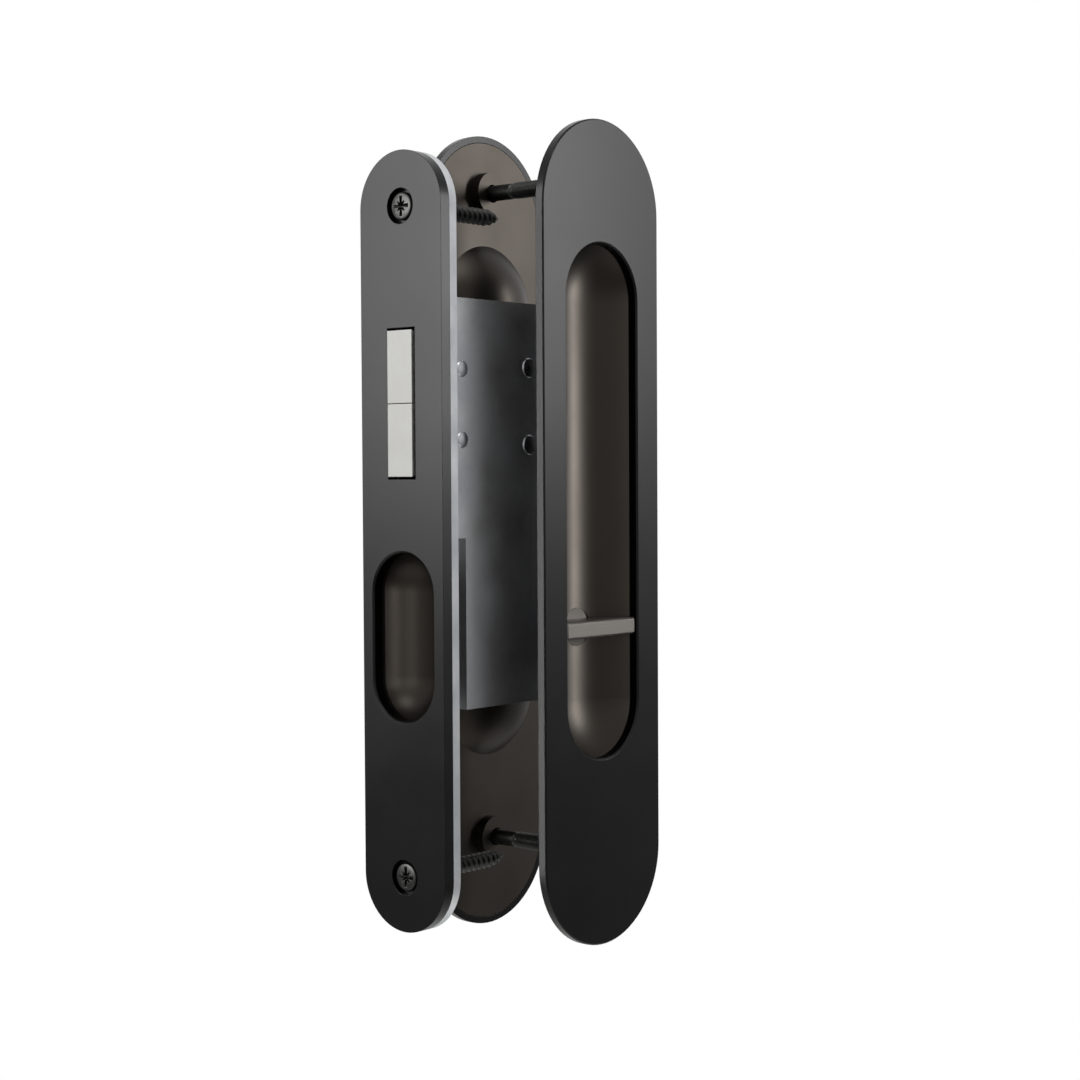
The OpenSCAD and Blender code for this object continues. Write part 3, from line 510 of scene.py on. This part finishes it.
# Through screws: two M4 machine screws of the same blackened steel. They pass through the
# outer pull with countersunk heads and run in the threaded sleeves of the inner one.
low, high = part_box("through_screws")
CLAMP_L = (high.y - low.y) * 1000
CLAMP_R, CLAMP_T = 4.0, 2.2      # mm, like the values below
PLAIN_R, PLAIN_END = 1.9, 10.0
CORE_R, CORE_START = 1.6, 10.4
CORE_PITCH = 0.7
machine_screws = turned_blank("through_screws_threaded", [
    (0.0, 0), (0.0, CLAMP_R - 0.08), (0.12, CLAMP_R), (0.3, CLAMP_R - 0.1), (CLAMP_T, PLAIN_R),
    (PLAIN_END, PLAIN_R), (CORE_START, CORE_R), (CLAMP_L - 0.7, CORE_R), (CLAMP_L, 1.2),
    (CLAMP_L, 0)], blackened)
cut_recess(machine_screws, 1.9, 1.5, 1.2)
run_tree(machine_screws, thread, {
    "Turns": (CLAMP_L - 11.2) / CORE_PITCH, "Pitch": CORE_PITCH / 1000,
    "Start": CORE_START / 1000, "Root Radius": 0.00162, "Height": 0.00038,
    "Flank Width": 0.00062, "Tip Start": 1.0, "Tip End": 2.0, "Steps": 641, "Finish": blackened})
run_tree(machine_screws, pair, {"Span": high.z - low.z - 2 * CLAMP_R / 1000, "Finish": blackened})
settle(machine_screws, Matrix((
    (1, 0, 0, (low.x + high.x) / 2), (0, 0, -1, high.y), (0, 1, 0, (low.z + high.z) / 2),
    (0, 0, 0, 1))))
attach(machine_screws, "lock")
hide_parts("through_screws")


# Studio: a pale floor well under the lock and a white surround. The satin plates mirror one
# softbox on the room's side and one on the edge's. Others light the hollows, the turn and one
# rim. The floor is dimmer in what the plates mirror, so that their lower ends are darker.
FLOOR_Z = -0.25  # m, well under the lock
SHADOW_R = 0.2   # m from the middle of the floor to where the matt paper starts to fade
PAPER_R = 0.36   # m to where only white is seen
MIRRORED = 0.4   # strength of that white in what the plates mirror
bpy.ops.mesh.primitive_plane_add(size=6.0, location=(0.0, 0.0, FLOOR_Z))
floor = bpy.context.object
floor.name = "studio_floor"
paper, tree, place = start_material("pale_studio_paper")
seen = add(tree, "ShaderNodeLightPath", {}, {})
either = add(tree, "ShaderNodeMath", {"operation": "MAXIMUM"}, {
    0: seen.outputs["Is Camera Ray"], 1: seen.outputs["Is Glossy Ray"]})
any_of = add(tree, "ShaderNodeMath", {"operation": "MAXIMUM"}, {
    0: either.outputs[0], 1: seen.outputs["Is Transmission Ray"]})
away = add(tree, "ShaderNodeVectorMath", {"operation": "LENGTH"}, {0: place})
edge = add(tree, "ShaderNodeMapRange", {}, {
    "Value": away.outputs["Value"], "From Min": SHADOW_R, "From Max": PAPER_R})
white_share = add(tree, "ShaderNodeMath", {"operation": "MULTIPLY"}, {
    0: any_of.outputs[0], 1: edge.outputs["Result"]})
matt = add(tree, "ShaderNodeBsdfDiffuse", {}, {"Color": linear("#ececea")})
dimmed = add(tree, "ShaderNodeMapRange", {}, {
    "Value": seen.outputs["Is Glossy Ray"], "To Min": 1.0, "To Max": MIRRORED})
glow = add(tree, "ShaderNodeEmission", {}, {
    "Color": (1.0, 1.0, 1.0, 1.0), "Strength": dimmed.outputs["Result"]})
end_material(tree, add(tree, "ShaderNodeMixShader", {}, {
    0: white_share.outputs[0], 1: matt.outputs[0], 2: glow.outputs[0]}))
floor.data.materials.append(paper)

world = bpy.data.worlds.new("studio_surround")
bpy.context.scene.world = world
world.use_nodes = True
world.node_tree.nodes.clear()
tree = world.node_tree
seen = add(tree, "ShaderNodeLightPath", {}, {})
either = add(tree, "ShaderNodeMath", {"operation": "MAXIMUM"}, {
    0: seen.outputs["Is Camera Ray"], 1: seen.outputs["Is Glossy Ray"]})
any_of = add(tree, "ShaderNodeMath", {"operation": "MAXIMUM"}, {
    0: either.outputs[0], 1: seen.outputs["Is Transmission Ray"]})
dim = add(tree, "ShaderNodeBackground", {}, {"Color": (1.0, 1.0, 1.0, 1.0), "Strength": 0.45})
bright_sky = add(tree, "ShaderNodeBackground", {}, {"Color": (1.0, 1.0, 1.0, 1.0), "Strength": 1.0})
both = add(tree, "ShaderNodeMixShader", {}, {
    0: any_of.outputs[0], 1: dim.outputs[0], 2: bright_sky.outputs[0]})
add(tree, "ShaderNodeOutputWorld", {}, {"Surface": both.outputs[0]})


def chosen(name, pieces, state="INCLUDE"):
    """A collection of pieces that a lamp lights, leaves out or is blocked by."""
    made = bpy.data.collections.new(name)
    for piece in pieces:
        cad_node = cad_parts.get(piece)
        made.objects.link(cad_node or bpy.data.objects[piece])
    for held in made.collection_objects:
        held.light_linking.link_state = state
    return made


def softbox(name, bearing, rise, away, wide, tall, power, lights, blocked_by=None):
    """Area lamp that faces the lock from a bearing and a rise, in degrees, and a distance."""
    lamp = bpy.data.lights.new(name, "AREA")
    lamp.shape = "RECTANGLE"
    lamp.size, lamp.size_y, lamp.energy = wide, tall, power
    made = bpy.data.objects.new(name, lamp)
    turn, lift = math.radians(bearing), math.radians(rise)
    spot = away * Vector((
        math.cos(lift) * math.cos(turn), math.cos(lift) * math.sin(turn), math.sin(lift)))
    made.location = spot
    made.rotation_euler = spot.to_track_quat("Z", "Y").to_euler()
    made.visible_camera = False
    made.light_linking.receiver_collection = lights
    made.light_linking.blocker_collection = blocked_by
    bpy.context.scene.collection.objects.link(made)


PALE = [
    "upper_claw", "lower_claw", "lock_case", "case_cover", "bolt_carriage", "hub", "case_posts",
    "case_screws", "claw_pivots", "drive_pin", "spindle", "turn_washer", "release_washer",
    "spreader_pins_peened", "guide_pins_peened"]
# Bearing and rise in degrees, then distance, width and height in metres, then power in watts
softbox("softbox_room_side", -45.2, 13.4, 0.95, 0.15, 0.37, 4.4,
        chosen("pale_and_recess", PALE + ["inner_pull_body"], "EXCLUDE"))
softbox("softbox_edge_side", 150.5, 12.1, 0.95, 0.6, 0.43, 12.0,
        chosen("pale_and_cup", PALE + ["finger_cup"], "EXCLUDE"))
softbox("softbox_recess", -38.0, 2.0, 0.95, 0.26, 0.42, 7.5,
        chosen("recess", ["inner_pull_body"]))
softbox("softbox_fill", 208.0, 4.0, 0.95, 0.5, 0.5, 1.9,
        chosen("hollows", ["inner_pull_body", "finger_cup", "turn_bar"]))
softbox("softbox_cup", 251.0, 4.0, 0.95, 0.3, 0.5, 4.7,
        chosen("cup", ["finger_cup"]))
softbox("softbox_rim", 139.5, 0.0, 0.95, 0.4, 0.9, 12.0,
        chosen("rim", ["inner_pull_cover"]),
        chosen("rim_blockers", ["inner_pull_cover", "inner_pull_body", "turn_bar"]))
# A mirrored ray would end at the lock case, so this lamp counts by direct sampling alone
bpy.data.lights["softbox_rim"].cycles.use_multiple_importance_sampling = False
softbox("softbox_overhead", 225.0, 65.0, 1.2, 0.6, 0.6, 5.0,
        chosen("recess_out", ["inner_pull_body"], "EXCLUDE"))

bpy.context.scene.view_settings.view_transform = "Standard"


# Camera: worked out from the outlines of both plates in the photograph.
AZIMUTH, ELEVATION, ROLL = -0.8614, 0.0329, -0.0053  # radians
SPOT = (-0.32489, -0.31520, 0.01536)                 # m
back = Vector((math.sin(AZIMUTH) * math.cos(ELEVATION), -math.cos(AZIMUTH) * math.cos(ELEVATION),
               math.sin(ELEVATION)))
level = Vector((0, 0, 1)).cross(back).normalized()
upright = back.cross(level)
right = math.cos(ROLL) * level + math.sin(ROLL) * upright
up = -math.sin(ROLL) * level + math.cos(ROLL) * upright
lens = bpy.data.cameras.new("camera")
lens.sensor_width, lens.lens = 36.0, 66.87           # mm
lens.clip_start = 0.01                               # m
camera = bpy.data.objects.new("camera", lens)
camera.matrix_world = Matrix((
    (right.x, up.x, back.x, SPOT[0]), (right.y, up.y, back.y, SPOT[1]),
    (right.z, up.z, back.z, SPOT[2]), (0, 0, 0, 1)))
bpy.context.scene.collection.objects.link(camera)
bpy.context.scene.camera = camera
